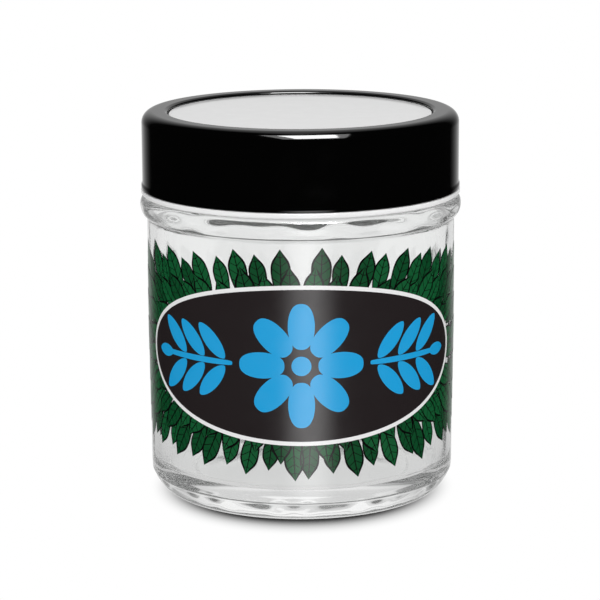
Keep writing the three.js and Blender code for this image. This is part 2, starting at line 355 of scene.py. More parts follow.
# %% [markdown]
# ### Waves, feet and the mould line
# Blown glass is never even. A mould leaves slow waves, which break up what shows through the glass, and a
# fine line at the heel where it meets its bottom plate, and the bearing ring is stippled into small feet. A
# bump in the material would bend light too, but the mesh would stay plain, so these move the points. Each
# wave is given as a count round the jar, a phase and a share, and some climb as well.

# %% Unevenness of the glass
RIPPLE_HEIGHT = 0.07
RIPPLES = ((17, 0.4, 1.0), (26, 2.1, 0.8), (39, 4.4, 0.45))
RIPPLE_FOOT_Z, RIPPLE_TOP_Z = 20, 60
SHOULDER_WAVE = 0.12
SHOULDER_WAVES = ((7, 1.2, 1.0, 1.5), (12, 3.0, 0.8, 1.9), (19, 0.3, 0.6, 2.3))
SHOULDER_Z, SHOULDER_HALF = 70.5, 3.0
CORNER_WAVE = 0.05
CORNER_WAVES = ((11, 0.7, 1.0), (18, 2.6, 0.8), (29, 5.1, 0.6))
HEEL_WAVE = 0.075
HEEL_WAVES = ((14, 0.7, 1.0, 0.9), (23, 2.6, 0.8, 1.1), (34, 5.1, 0.6, 1.3))
MOULD_LINE_Z, MOULD_LINE_HALF = 5.5, 0.3
MOULD_LINE_HEIGHT = 0.1
FEET, FOOT_HEIGHT, FOOT_EDGE = 128, 0.08, 0.8


def waves(a, terms):
    """The sum of share x cos(count a + phase), a slow drift round the jar."""
    return sum(share * np.cos(count * a + phase) for count, phase, share in terms)


def swells(a, z, terms):
    """The sum of share x cos(count a + phase) cos(climb z + phase), which drifts round and up."""
    return sum(
        share * np.cos(count * a + phase) * np.cos(climb * z + phase)
        for count, phase, share, climb in terms
    )


def hump(x, middle, half):
    """A soft hump of height 1: exp(-((x - middle) / half)^2)."""
    return np.exp(-(((x - middle) / half) ** 2))


def arch(x, low, high):
    """sin(pi t)^2, which is 0 at low and at high and 1 half way."""
    return np.sin(np.pi * np.clip((x - low) / (high - low), 0, 1)) ** 2


def wall_ripple(a, z):
    """Upright ripples of the inner wall, which die away at its foot and its top."""
    foot = smooth_step(z, FLOOR_Z + FLOOR_ROUNDING, RIPPLE_FOOT_Z)
    top = smooth_step(z, CAVITY_TOP_Z, RIPPLE_TOP_Z)
    return RIPPLE_HEIGHT * foot * top * waves(a, RIPPLES)


def shoulder_swell(a, z):
    """Swells of the inner wall at the height of the bead."""
    return SHOULDER_WAVE * hump(z, SHOULDER_Z, SHOULDER_HALF) * swells(a, z, SHOULDER_WAVES)


def corner_wave(a, z):
    """Waves of the corner between the inner wall and the floor."""
    return CORNER_WAVE * arch(z, FLOOR_Z, FLOOR_Z + FLOOR_ROUNDING) * waves(a, CORNER_WAVES)


def heel_shape(a, z):
    """The ridge of the mould line, less swells that only press in, so that the jar grows no wider."""
    line = MOULD_LINE_HEIGHT * hump(z, MOULD_LINE_Z, MOULD_LINE_HALF)
    all_shares = sum(share for _, _, share, _ in HEEL_WAVES)
    return line - HEEL_WAVE * arch(z, 0, HEEL_RADIUS) * (all_shares + swells(a, z, HEEL_WAVES))


def pits(a, r):
    """How far the bearing ring's stippled edge is lifted between one foot and the next."""
    middle = BODY_FOOT_RADIUS - HEEL_RADIUS - BEARING_RING_WIDTH + STIPPLE_WIDTH / 2
    across = 1 - np.abs(r - middle) / (STIPPLE_WIDTH / 2)
    return FOOT_HEIGHT * smooth_step(across, 0, FOOT_EDGE) * (1 - np.cos(FEET * a)) / 2


print(FEET, "feet under the bearing ring")

# %% [markdown]
# ### Clear glass
# The glass is clear and almost without colour. One Principled shader with full transmission does it: light
# bends at both skins of the closed mesh, and the thick base gathers its own grey. A touch of roughness
# stands for the finest ripple of a fire-polished skin, which is too small for the mesh.

# %% Make the jar
GLASS_SIDES = 512


def clear_glass():
    """Fire-polished soda glass, clear, with a trace of grey-green."""
    material, _, _ = new_finish(
        "clear_glass", Base_Color=(0.985, 0.99, 0.987, 1), Transmission_Weight=1.0, IOR=1.5, Roughness=0.05
    )
    return material


def glass_jar_grid():
    """The jar's profile turned, with its thread and unevenness added to radius and height."""
    points, run = glass_profile()
    r, z = points.T
    a = around(GLASS_SIDES)
    inside_bead = np.isin(run, ["cavity", "groove", "flare"])
    thread = thread_ridge(z, GLASS_SIDES, NECK_THREAD_FOOT_Z, 0, NECK_THREAD_TURNS)
    radius = r + np.where(run == "neck", thread, 0)
    radius = radius + np.where(run == "cavity", wall_ripple(a, z), 0)
    radius = radius + np.where(inside_bead, shoulder_swell(a, z), 0)
    radius = radius + np.where(run == "corner", corner_wave(a, z), 0)
    radius = radius + np.where(run == "heel", heel_shape(a, z), 0)
    height = z + np.where(run == "stipple", pits(a, r), 0)
    return turn(radius, height, GLASS_SIDES)


jar_mesh = turned_mesh("glass_jar_skin", glass_jar_grid(), ring=False)
make_piece("glass_jar_skin", jar_mesh, [clear_glass()], "jar", "glass_jar")

# %% [markdown]
# ## The seal ring
# A soft ring lies on the rim and makes the jar airtight. It is a rounded washer of milky silicone. A torus
# would be too round for it, so it is a closed ring profile, turned. The lid hides it in the photograph, and
# it shows when the lid comes off.

# %% Seal ring
CAP_UNDERSIDE_Z = 90.0
SEAL_INNER, SEAL_OUTER = 31.4, 34.85
SEAL_CLEARANCE, SEAL_ROUNDING = 0.07, 0.3
SEAL_SIDES = 192


def rounded_ring(inner, outer, foot, top, rounding):
    """A rectangle with round corners, anticlockwise from its lower left, as a ring profile."""
    left, right = inner + rounding, outer - rounding
    low, high = foot + rounding, top - rounding
    corners = ((left, low, 180), (right, low, 270), (right, high, 0), (left, high, 90))
    return np.vstack([bend((r, z), rounding, start, start + 90, steps=5) for r, z, start in corners])


def pale_silicone():
    """Milky silicone: satin, with light that soaks in a little."""
    material, tree, shader = new_finish(
        "pale_silicone", Base_Color=(0.80, 0.80, 0.77, 1),
        Subsurface_Weight=0.3, Subsurface_Radius=(1, 1, 1), Subsurface_Scale=0.001,
    )
    roughen(tree, shader, low=0.45, high=0.6, scale=900)
    dimple(tree, shader, scale=2500, height=0.00002)
    return material


seal_r, seal_z = rounded_ring(
    SEAL_INNER, SEAL_OUTER, RIM_Z + SEAL_CLEARANCE, CAP_UNDERSIDE_Z - SEAL_CLEARANCE, SEAL_ROUNDING
).T
seal_mesh = turned_mesh("seal_ring_skin", turn(seal_r, seal_z, SEAL_SIDES), ring=True)
make_piece("seal_ring_skin", seal_mesh, [pale_silicone()], "seal", "seal_ring")

# %% [markdown]
# ## The inner cap
# The cap is one moulding: the window that shows in the top of the lid, a skirt that carries the inner
# thread, and a flange that peeps out under the black shell. It could be joined from a disc, a tube and a
# ring, but one profile gives one closed skin with every edge rounded. Nothing of the jar's inside shows
# through the window in the photograph, so the plastic is milky and nearly white.

# %% Inner cap
SHELL_RADIUS = 38.0
SHELL_TOP_Z, SHELL_FOOT_Z = 92.9, 74.5
SHELL_WALL, SHELL_ROOF = 1.25, 1.5
OPENING_RADIUS = 31.7
CAP_CLEARANCE, CAP_SKIRT = 0.2, 1.4
CAP_ROUNDING = 0.25
WINDOW_RECESS = 0.75
FLANGE_RADIUS, FLANGE_ROUNDING = 38.3, 0.4
FLANGE_TOP_Z, FLANGE_FOOT_Z = 74.4, 73.1
CAP_THREAD_DROP = 1.9
CAP_THREAD_START, CAP_THREAD_TURNS = 0.15, 1.25
CAP_SIDES = 256


def cap_profile():
    """Radius and height of the cap, from under the window, round the flange and back to the window."""
    outer = SHELL_RADIUS - SHELL_WALL - CAP_CLEARANCE
    inner = outer - CAP_SKIRT
    boss = OPENING_RADIUS - CAP_CLEARANCE
    boss_z = SHELL_TOP_Z - WINDOW_RECESS
    shoulder_z = SHELL_TOP_Z - SHELL_ROOF - CAP_CLEARANCE
    edge = CAP_ROUNDING
    lip = FLANGE_RADIUS - FLANGE_ROUNDING
    lip_low_z, lip_high_z = FLANGE_FOOT_Z + FLANGE_ROUNDING, FLANGE_TOP_Z - FLANGE_ROUNDING
    return outline(
        underside=straight((0, CAP_UNDERSIDE_Z), (inner - edge, CAP_UNDERSIDE_Z), spacing=3),
        inside_top=bend((inner - edge, CAP_UNDERSIDE_Z - edge), edge, 90, 0, steps=4),
        skirt=straight((inner, CAP_UNDERSIDE_Z - edge), (inner, FLANGE_FOOT_Z + edge), spacing=0.3),
        mouth=bend((inner + edge, FLANGE_FOOT_Z + edge), edge, 180, 270, steps=4),
        foot=straight((inner + edge, FLANGE_FOOT_Z), (lip, FLANGE_FOOT_Z), spacing=0.7),
        flange_low=bend((lip, lip_low_z), FLANGE_ROUNDING, -90, 0, steps=6),
        flange_high=bend((lip, lip_high_z), FLANGE_ROUNDING, 0, 90, steps=6),
        ledge=straight((lip, FLANGE_TOP_Z), (outer + edge, FLANGE_TOP_Z), spacing=0.5),
        root=bend((outer + edge, FLANGE_TOP_Z + edge), edge, 270, 180, steps=4),
        side=straight((outer, FLANGE_TOP_Z + edge), (outer, shoulder_z - edge), spacing=2),
        shoulder_edge=bend((outer - edge, shoulder_z - edge), edge, 0, 90, steps=4),
        shoulder=straight((outer - edge, shoulder_z), (boss + edge, shoulder_z), spacing=1),
        boss_root=bend((boss + edge, shoulder_z + edge), edge, 270, 180, steps=4),
        boss_edge=bend((boss - edge, boss_z - edge), edge, 0, 90, steps=5),
        window=straight((boss - edge, boss_z), (0, boss_z), spacing=3),
    )


def milky_plastic():
    """Milky polypropylene: smooth and nearly white."""
    material, tree, shader = new_finish("milky_plastic", Base_Color=(0.97, 0.972, 0.972, 1), IOR=1.49)
    roughen(tree, shader, low=0.07, high=0.14, scale=300)
    dimple(tree, shader, scale=700, height=0.000004)
    return material


cap_points, cap_run = cap_profile()
cap_r, cap_z = cap_points.T
cap_thread = thread_ridge(
    cap_z, CAP_SIDES, NECK_THREAD_FOOT_Z - CAP_THREAD_DROP, CAP_THREAD_START, CAP_THREAD_TURNS
)
cap_radius = cap_r - np.where(cap_run == "skirt", cap_thread, 0)
cap_mesh = turned_mesh("lid_inner_cap_skin", turn(cap_radius, cap_z, CAP_SIDES), ring=False)
make_piece("lid_inner_cap_skin", cap_mesh, [milky_plastic()], "lid", "lid_inner_cap")

# %% [markdown]
# ## The outer shell
# The shell is a glossy black moulding with a full round top edge, a small bevel round the window and a foot
# that flares a quarter of a millimetre. It mirrors the room, so its roundings matter more than its colour.
# A bevel modifier could round the edges, but arcs in the profile give each edge its own radius.

# %% Outer shell
SHELL_TOP_ROUNDING = 2.8
OPENING_BEVEL_WIDTH, OPENING_BEVEL_DEPTH = 0.7, 0.45
FLARE_WIDTH, FLARE_HEIGHT, FLARE_TOP_Z = 0.25, 1.0, 76.1
SHELL_EDGE = 0.15
SHELL_SIDES = 256


def shell_profile():
    """Radius and height of the shell as a closed ring, from its foot up the outside and down the inside.
    The last point is the first again, and is left out."""
    inner = SHELL_RADIUS - SHELL_WALL
    foot = SHELL_RADIUS + FLARE_WIDTH
    roof_z = SHELL_TOP_Z - SHELL_ROOF
    crown = SHELL_RADIUS - SHELL_TOP_ROUNDING
    crown_z = SHELL_TOP_Z - SHELL_TOP_ROUNDING
    bevel = OPENING_RADIUS + OPENING_BEVEL_WIDTH
    bevel_z = SHELL_TOP_Z - OPENING_BEVEL_DEPTH
    flare_z = FLARE_TOP_Z - FLARE_HEIGHT
    flare_middle_z = FLARE_TOP_Z - FLARE_HEIGHT / 2
    edge = SHELL_EDGE
    bevel_end = (OPENING_RADIUS + edge, bevel_z + edge)
    points, _ = outline(
        inside_foot=bend((inner + edge, SHELL_FOOT_Z + edge), edge, 180, 270, steps=3),
        foot=bend((foot - edge, SHELL_FOOT_Z + edge), edge, 270, 360, steps=4),
        lip=straight((foot, SHELL_FOOT_Z + edge), (foot, flare_z), spacing=0.3),
        flare=sweep(
            (foot, flare_z), (foot, flare_middle_z),
            (SHELL_RADIUS, flare_middle_z), (SHELL_RADIUS, FLARE_TOP_Z), steps=14,
        ),
        side=straight((SHELL_RADIUS, FLARE_TOP_Z), (SHELL_RADIUS, crown_z), spacing=2),
        crown=bend((crown, crown_z), SHELL_TOP_ROUNDING, 0, 90, steps=20),
        top=straight((crown, SHELL_TOP_Z), (bevel + edge, SHELL_TOP_Z), spacing=0.7),
        bevel=sweep((bevel + edge, SHELL_TOP_Z), (bevel, SHELL_TOP_Z), bevel_end, steps=14),
        opening=sweep(bevel_end, (OPENING_RADIUS, bevel_z), (OPENING_RADIUS, bevel_z - edge), steps=14),
        wall=straight((OPENING_RADIUS, bevel_z - edge), (OPENING_RADIUS, roof_z + edge), spacing=0.4),
        roof_edge=bend((OPENING_RADIUS + edge, roof_z + edge), edge, 180, 270, steps=3),
        roof=straight((OPENING_RADIUS + edge, roof_z), (inner - edge, roof_z), spacing=1),
        roof_root=bend((inner - edge, roof_z - edge), edge, 90, 0, steps=3),
        inside=straight((inner, roof_z - edge), (inner, SHELL_FOOT_Z + edge), spacing=2),
    )
    return points[:-1]


def black_plastic():
    """Polished black moulding: a deep gloss with a faint drift in how sharp its mirror is."""
    material, tree, shader = new_finish("black_plastic", Base_Color=(0.0008, 0.0008, 0.0008, 1), IOR=1.5)
    roughen(tree, shader, low=0.04, high=0.08, scale=140)
    dimple(tree, shader, scale=1500, height=0.000002)
    return material


shell_r, shell_z = shell_profile().T
shell_mesh = turned_mesh("lid_outer_shell_skin", turn(shell_r, shell_z, SHELL_SIDES), ring=True)
make_piece("lid_outer_shell_skin", shell_mesh, [black_plastic()], "lid", "lid_outer_shell")

# %% [markdown]
# ## The print
# The real wall is screen printed: opaque inks, fired on, that wrap a little more than half of the jar. The
# design here is a plain one: rows of bay leaves that fan up and down, and an oval medallion with a
# rosette and two sprigs. A material could paint it, but real layers of ink stay sharp close up, and their
# backs show through the glass. So every motif is a thin closed shell on the wall. It is drawn flat, with u
# the length round the wall from the front and z the height, and then wrapped. Later layers lie a few
# thousandths of a millimetre higher, as one ink lies on another.

# %% Shells of ink
INK_THICKNESS = 0.004
INKS_IN_A_PRINT = 3
FRONT_GLOSS, BACK_GLOSS = 0.8, 0.0


def paint(red, green, blue):
    """A screen colour from 0 to 255 as the linear colour that a shader takes, by the sRGB curve."""
    level = np.array([red, green, blue]) / 255
    linear = np.where(level > 0.04045, ((level + 0.055) / 1.055) ** 2.4, level / 12.92)
    return (*linear.tolist(), 1)


def on_wall(u, z, lift):
    """The wall's point at angle u / R from the front and height z, raised by lift."""
    up = (z - HEEL_RADIUS) / (BEAD_FOOT_Z - BEAD_FILLET - HEEL_RADIUS)
    radius = BODY_FOOT_RADIUS + (BODY_TOP_RADIUS - BODY_FOOT_RADIUS) * up + lift
    a = u / BODY_TOP_RADIUS
    return np.stack([radius * np.sin(a), -radius * np.cos(a), z], axis=-1)


def border(rows, columns):
    """The numbers of a grid's border points, once round."""
    return np.r_[
        np.arange(rows - 1) * columns,
        (rows - 1) * columns + np.arange(columns - 1),
        np.arange(rows - 1, 0, -1) * columns + columns - 1,
        np.arange(columns - 1, 0, -1),
    ]


def ink_shells(along, across, base, angle, lift, colour):
    """Points, faces and inks of shells: base + along (cos b, sin b) + across (-sin b, cos b)."""
    b = np.radians(angle)[:, None, None]
    u = base[:, 0, None, None] + along * np.cos(b) - across * np.sin(b)
    z = base[:, 1, None, None] + along * np.sin(b) + across * np.cos(b)
    height = lift[:, None, None] + 0 * u
    points = np.stack([on_wall(u, z, height), on_wall(u, z, height - INK_THICKNESS)], axis=1)
    count, rows, columns = u.shape
    number = np.arange(count * 2 * rows * columns).reshape(count, 2, rows, columns)
    top, low = number[:, 0], number[:, 1]
    over = np.stack([top[:, :-1, :-1], top[:, 1:, :-1], top[:, 1:, 1:], top[:, :-1, 1:]], axis=-1)
    under = np.stack([low[:, :-1, :-1], low[:, :-1, 1:], low[:, 1:, 1:], low[:, 1:, :-1]], axis=-1)
    here = top.reshape(count, -1)[:, border(rows, columns)]
    beside = np.roll(here, -1, axis=1)
    down = rows * columns
    rim = np.stack([beside, here, here + down, beside + down], axis=-1)
    faces = np.vstack([over.reshape(-1, 4), under.reshape(-1, 4), rim.reshape(-1, 4)])
    rim_inks = np.repeat(colour[:, 0, 0], here.shape[1])
    inks = np.r_[colour.ravel(), colour.ravel() + INKS_IN_A_PRINT, rim_inks]
    return points.reshape(-1, 3), faces, inks


def join_shells(*groups):
    """Several groups of shells as one set of points, faces and inks."""
    offsets = np.cumsum([0] + [len(points) for points, _, _ in groups[:-1]])
    points = np.vstack([group[0] for group in groups])
    faces = np.vstack([group[1] + offset for group, offset in zip(groups, offsets)])
    return points, faces, np.concatenate([group[2] for group in groups])


def ink(name, colour, gloss):
    """Fired ink with more or less gloss."""
    material, tree, shader = new_finish(name, Base_Color=colour, IOR=1.5, Specular_IOR_Level=gloss)
    roughen(tree, shader, low=0.22, high=0.26, scale=250)
    return material


def make_print(name, shells, colours):
    """A print of three inks that rides on the jar. Its back lies on the glass and has no gloss."""
    points, faces, inks = shells
    mesh = bpy.data.meshes.new(name)
    mesh.from_pydata(points * MM, [], faces.tolist())
    mesh.polygons.foreach_set("material_index", inks)
    fronts = [ink(key, colour, FRONT_GLOSS) for key, colour in colours.items()]
    backs = [ink(key + "_back", colour, BACK_GLOSS) for key, colour in colours.items()]
    make_piece(name, mesh, fronts + backs, "jar")


print(f"a layer of ink is {INK_THICKNESS} mm thick")

# %% [markdown]
# ### The leaves
# The leaves stand in rows that start at the middle of the medallion's height and go up and down, each row a
# little steeper than the one before. At the front they stand upright, and they lean over to their row's own
# tilt further round. All leaves are one small grid, bent into chevrons so that its rows are the veins and
# its columns are the outline, the flesh and the rib. A seeded drift keeps any two from being alike.

# %% Leaves in rows
GREEN, DEEP_GREEN, BLACK = 0, 1, 2
MEDALLION_Z, MEDALLION_HALF = 38.5, (45.0, 19.0)
COVERED_MARGIN = 2
LEAF_LENGTH, LEAF_HALF_WIDTH, LEAF_TIP = 12.5, 2.35, 0.05
LEAF_BELLY, LEAF_FULLNESS = 0.85, 0.9
LEAF_OUTLINE, LEAF_FLESH_LEAST = 0.4, 0.6
LEAF_RIB, LEAF_RIB_MOST, LEAF_RIB_TAPER = 0.22, 0.3, 0.6
LEAF_VEINS, LEAF_VEIN, LEAF_VEIN_SWEEP = 6, 0.2, 0.8
LEAF_STRIP_IS_FLESH = (False, True, True, False, True, True, False)
LEAF_SPACING, LEAF_REACH = 4.4, 61.0
LEAF_ROW_TILTS = (9, 27, 46, 66)
LEAF_FIRST_ROW, LEAF_ROW_SPACING = 1.3, 4.6
LEAF_BOW, LEAF_FAN = 5.0, 24.0
LEAF_TILT_DRIFT, LEAF_SIZE_DRIFT = 5, (0.94, 1.05)
SMALL_LEAF = 0.86
LEAF_FIRST_LIFT, LEAF_STEP = 0.02, 0.006
LAYERS_IN_A_ROW = 4
LEAF_SEED = 11


def leaf_places():
    """Base point, angle, size, layer and shade of every leaf, on a grid of rows, sides and columns."""
    drift = np.random.default_rng(LEAF_SEED)
    tilts = np.array(LEAF_ROW_TILTS)
    rise = LEAF_FIRST_ROW + LEAF_ROW_SPACING * np.arange(len(tilts))
    row_tilt = np.r_[-tilts[::-1], tilts][:, None, None]
    row_z = MEDALLION_Z + np.r_[-rise[::-1], rise][:, None, None]
    column = np.arange(LEAF_SPACING / 2, LEAF_REACH, LEAF_SPACING)
    number = np.arange(len(column))
    side = np.array([1, -1])[None, :, None]
    shift = (np.arange(len(row_z)) % 2)[:, None, None] * LEAF_SPACING / 2
    base_u = (column + shift) * side
    bow = LEAF_BOW * row_tilt / tilts.max() * (base_u / LEAF_REACH) ** 2
    upright = np.sign(row_tilt) * 90
    fan = smooth_step(np.abs(base_u), 0, LEAF_FAN)
    tilt = upright + (row_tilt - upright) * fan
    tilt = tilt + drift.uniform(-LEAF_TILT_DRIFT, LEAF_TILT_DRIFT, base_u.shape)
    angle = np.where(side > 0, tilt, 180 - tilt)
    size = np.where(number % 2, SMALL_LEAF, 1.0) * drift.uniform(*LEAF_SIZE_DRIFT, base_u.shape)
    steepest_first = np.argsort(np.argsort(-np.abs(row_tilt.ravel()), kind="stable"))[:, None, None]
    layer = steepest_first * LAYERS_IN_A_ROW + number[::-1] % LAYERS_IN_A_ROW
    shade = drift.integers(GREEN, DEEP_GREEN + 1, base_u.shape)
    values = (base_u, row_z - bow, angle, size, layer, shade)
    return np.stack([np.broadcast_to(each, base_u.shape).ravel() for each in values], axis=1)


def covered(points):
    """Whether each point lies well under the medallion."""
    half = np.array(MEDALLION_HALF) - COVERED_MARGIN
    return (((points - (0, MEDALLION_Z)) / half) ** 2).sum(axis=1) < 1


def leaf_shells(places):
    """Leaves in chevrons: along = length t + sweep |across| sin(pi t), and the half width follows
    sin(pi t^belly)^fullness."""
    angle, size, layer, shade = places[:, 2:].T
    knots = np.linspace(0, 1, LEAF_VEINS + 1)
    veins = knots[1:-1]
    middles = (knots[:-1] + knots[1:]) / 2
    t = np.sort(np.r_[knots, veins + LEAF_VEIN / LEAF_LENGTH, middles])
    half = LEAF_HALF_WIDTH * np.sin(np.pi * t**LEAF_BELLY) ** LEAF_FULLNESS + LEAF_TIP
    inside = np.maximum(half - LEAF_OUTLINE, LEAF_FLESH_LEAST * half)
    rib = np.minimum(LEAF_RIB, LEAF_RIB_MOST * half) * (1 - LEAF_RIB_TAPER * t)
    right = np.stack([rib, (rib + inside) / 2, inside, half], axis=1)
    across = np.hstack([-right[:, ::-1], right])
    along = LEAF_LENGTH * t[:, None] + LEAF_VEIN_SWEEP * np.abs(across) * np.sin(np.pi * t)[:, None]
    green = ~np.isin(t[:-1], veins)[:, None] & np.array(LEAF_STRIP_IS_FLESH)
    colour = np.where(green[None], shade[:, None, None], BLACK).astype(int)
    scale = size[:, None, None]
    lift = LEAF_FIRST_LIFT + LEAF_STEP * layer
    return ink_shells(along * scale, across * scale, places[:, :2], angle, lift, colour)


places = leaf_places()
heading = np.radians(places[:, 2])
tips = places[:, :2] + LEAF_LENGTH * np.stack([np.cos(heading), np.sin(heading)], axis=1)
shown = ~(covered(places[:, :2]) & covered(tips))
make_print(
    "leaf_print",
    leaf_shells(places[shown]),
    {"leaf_green": paint(10, 92, 48), "deep_green": paint(4, 76, 38), "black_ink": paint(8, 8, 8)},
)

# %% [markdown]
# ### The medallion
# A charcoal oval with a white edge sits over the leaves, and a blue rosette with two sprigs sits on it.
# Petals, sprig leaves, stems and dots are all one kind of shape, a spine with a half width, so one function
# draws them. A power of the half width makes the ends blunt below 1 and pointed above it.

# %% Medallion, rosette and sprigs
WHITE, CHARCOAL, BLUE = 0, 1, 2
KEYLINE = 1.0
MEDALLION_LIFT, CHARCOAL_LIFT, BLUE_LIFT = 0.22, 0.245, 0.275
OVAL_END = 0.04
PETALS, PETAL_START = 8, 3.9
PETAL_LENGTH, PETAL_HALF, PETAL_POINT = 10.8, 3.1, 0.8
DOT_RADIUS = 2.3
STEM_START, STEM_END = 16.5, 37.0
STEM_HALF, STEM_POINT = 0.7, 0.3
SPRIG_PAIRS, SPRIG_FIRST, SPRIG_LAST = 3, 2.0, 7.0
SPRIG_LEAF_LENGTH, SPRIG_LEAF_HALF, SPRIG_LEAF_POINT = 10.5, 1.95, 1.25
SPRIG_LEAF_TILT, SPRIG_LEAF_RISE = 47, 0.9
SPRIG_TIP_LENGTH, SPRIG_TIP_HALF, SPRIG_TIP_OVERLAP = 6.0, 1.5, 2


def ovals(base, angle, length, half_width, lift, colour, point=1.0, rows=28, columns=12):
    """Shapes on a spine: along = length (1 - cos f) / 2, across = half width sin(f)^point."""
    base, angle = np.atleast_2d(np.asarray(base, float)), np.atleast_1d(np.asarray(angle, float))
    f = np.linspace(OVAL_END, np.pi - OVAL_END, rows)[:, None]
    along = length * (1 - np.cos(f)) / 2 + np.zeros((len(base), 1, columns))
    across = half_width * np.sin(f) ** point * np.linspace(-1, 1, columns)
    lifts = np.full(len(base), lift)
    colours = np.full((len(base), rows - 1, columns - 1), colour)
    return ink_shells(along, across, base, angle, lifts, colours)


def medallion(inset, lift, colour):
    """The oval, drawn in from its edge by inset."""
    wide, tall = (half - inset for half in MEDALLION_HALF)
    return ovals((-wide, MEDALLION_Z), 0, 2 * wide, tall, lift, colour, rows=96, columns=40)


def rosette():
    """Petals at even angles round a dot."""
    angle = np.arange(PETALS) * 360 / PETALS
    heading = np.radians(angle)
    base = PETAL_START * np.stack([np.cos(heading), np.sin(heading)], axis=1) + (0, MEDALLION_Z)
    petals = ovals(base, angle, PETAL_LENGTH, PETAL_HALF, BLUE_LIFT, BLUE, point=PETAL_POINT)
    dot = ovals((-DOT_RADIUS, MEDALLION_Z), 0, 2 * DOT_RADIUS, DOT_RADIUS, BLUE_LIFT, BLUE)
    return join_shells(petals, dot)


def sprigs():
    """A stem on each side, with leaves in pairs and one at its end."""
    side = np.array([1, -1])
    stem_angle = np.where(side > 0, 0, 180)
    level = np.full(2, MEDALLION_Z)
    stem_base = np.stack([side * STEM_START, level], axis=1)
    stem_length = STEM_END - STEM_START
    stems = ovals(
        stem_base, stem_angle, stem_length, STEM_HALF, BLUE_LIFT, BLUE, point=STEM_POINT, columns=3
    )
    u = np.linspace(STEM_START + SPRIG_FIRST, STEM_END - SPRIG_LAST, SPRIG_PAIRS)
    tilts = (SPRIG_LEAF_TILT, -SPRIG_LEAF_TILT)
    leaf_side, leaf_u, tilt = (each.ravel() for each in np.meshgrid(side, u, tilts, indexing="ij"))
    base = np.stack([leaf_side * leaf_u, MEDALLION_Z + np.sign(tilt) * SPRIG_LEAF_RISE], axis=1)
    angle = np.where(leaf_side > 0, tilt, 180 - tilt)
    leaves = ovals(
        base, angle, SPRIG_LEAF_LENGTH, SPRIG_LEAF_HALF, BLUE_LIFT, BLUE, point=SPRIG_LEAF_POINT
    )
    tip_base = np.stack([side * (STEM_END - SPRIG_TIP_OVERLAP), level], axis=1)
    tips = ovals(
        tip_base, stem_angle, SPRIG_TIP_LENGTH, SPRIG_TIP_HALF, BLUE_LIFT, BLUE, point=SPRIG_LEAF_POINT
    )
    return join_shells(stems, leaves, tips)


white_oval = medallion(0, MEDALLION_LIFT, WHITE)
charcoal_oval = medallion(KEYLINE, CHARCOAL_LIFT, CHARCOAL)
make_print(
    "medallion_print",
    join_shells(white_oval, charcoal_oval, rosette(), sprigs()),
    {"white_ink": paint(250, 250, 250), "charcoal_ink": paint(38, 32, 33), "blue_ink": paint(0, 168, 232)},
)

# %% [markdown]
# ## The stage
# The jar stands on a pale floor before a white backdrop. The floor shows its shadow close to the jar and is
# plain white further out, and from below it can be seen through, so that the underside shows. A lit white
# plane would clip or turn grey with the lamps, so the floor gives its own even light. The shadow is
# painted, worked out from how much of the room each spot sees. Through the glass the floor has a painted
# shade: it is greyer near the jar.

# %% Floor
FLOOR_HALF_SIZE = 3.0
SHADOW_REACH, SHADOW_DEPTH, SHADOW_SAMPLES = 0.012, 1.3, 8
SHADOW_NEAR, SHADOW_FAR = 0.030, 0.0415
SHADOW_OVAL = (1.1, 0.93, 1)
GLASS_NEAR, GLASS_FAR = 0.05, 0.25
FLOOR_NEAR_LEVEL, FLOOR_FAR_LEVEL = 0.68, 0.9
WHITE_LIGHT = (1, 1, 1, 1)


def bare_material(name):
    """A material with an empty node tree."""
    material = bpy.data.materials.new(name)
    material.use_nodes = True
    material.node_tree.nodes.clear()
    return material, material.node_tree


def floor_light():
    """White with a painted shadow close under the jar, white - fade (white - openness^depth), and painted
    shade near the jar through glass.
    """
    material, tree = bare_material("white_floor")
    occlusion = add_node(
        tree, "ShaderNodeAmbientOcclusion", {"Distance": SHADOW_REACH}, samples=SHADOW_SAMPLES
    )
    dark = math_node(tree, "POWER", occlusion.outputs["AO"], SHADOW_DEPTH)
    place = add_node(tree, "ShaderNodeTexCoord").outputs["Object"]
    oval = add_node(tree, "ShaderNodeVectorMath", {0: place, 1: SHADOW_OVAL}, operation="MULTIPLY")
    reach = add_node(tree, "ShaderNodeVectorMath", {0: oval.outputs[0]}, operation="LENGTH")
    distance = reach.outputs["Value"]
    fade = ramp(tree, distance, SHADOW_NEAR, SHADOW_FAR, 1.0, 0.0)
    shaded = blend(tree, fade, WHITE_LIGHT, dark)
    through = add_node(tree, "ShaderNodeLightPath").outputs["Is Transmission Ray"]
    # Painted shade: seen through the glass, the floor is greyer near the jar.
    painted_glass_shade = ramp(tree, distance, GLASS_NEAR, GLASS_FAR, FLOOR_NEAR_LEVEL, FLOOR_FAR_LEVEL)
    level = blend(tree, through, shaded, painted_glass_shade)
    white = add_node(tree, "ShaderNodeEmission", {"Color": level, "Strength": 1.0}).outputs[0]
    below = add_node(tree, "ShaderNodeNewGeometry").outputs["Backfacing"]
    clear = add_node(tree, "ShaderNodeBsdfTransparent").outputs[0]
    one_way = add_node(tree, "ShaderNodeMixShader", {0: below, 1: white, 2: clear}).outputs[0]
    add_node(tree, "ShaderNodeOutputMaterial", {"Surface": one_way})
    return material


def stage_plane(name, corners, material):
    """A plane of four corners that is part of the stage."""
    mesh = bpy.data.meshes.new(name)
    mesh.from_pydata(corners, [], [(0, 1, 2, 3)])
    mesh.materials.append(material)
    plane = bpy.data.objects.new(name, mesh)
    bpy.context.scene.collection.objects.link(plane)
    plane.visible_shadow = False
    return plane


floor_corners = np.array([(-1, -1, 0), (1, -1, 0), (1, 1, 0), (-1, 1, 0)]) * FLOOR_HALF_SIZE
floor = stage_plane("floor", floor_corners, floor_light())
floor.visible_glossy = False
print("floor", FLOOR_HALF_SIZE * 2, "m across")

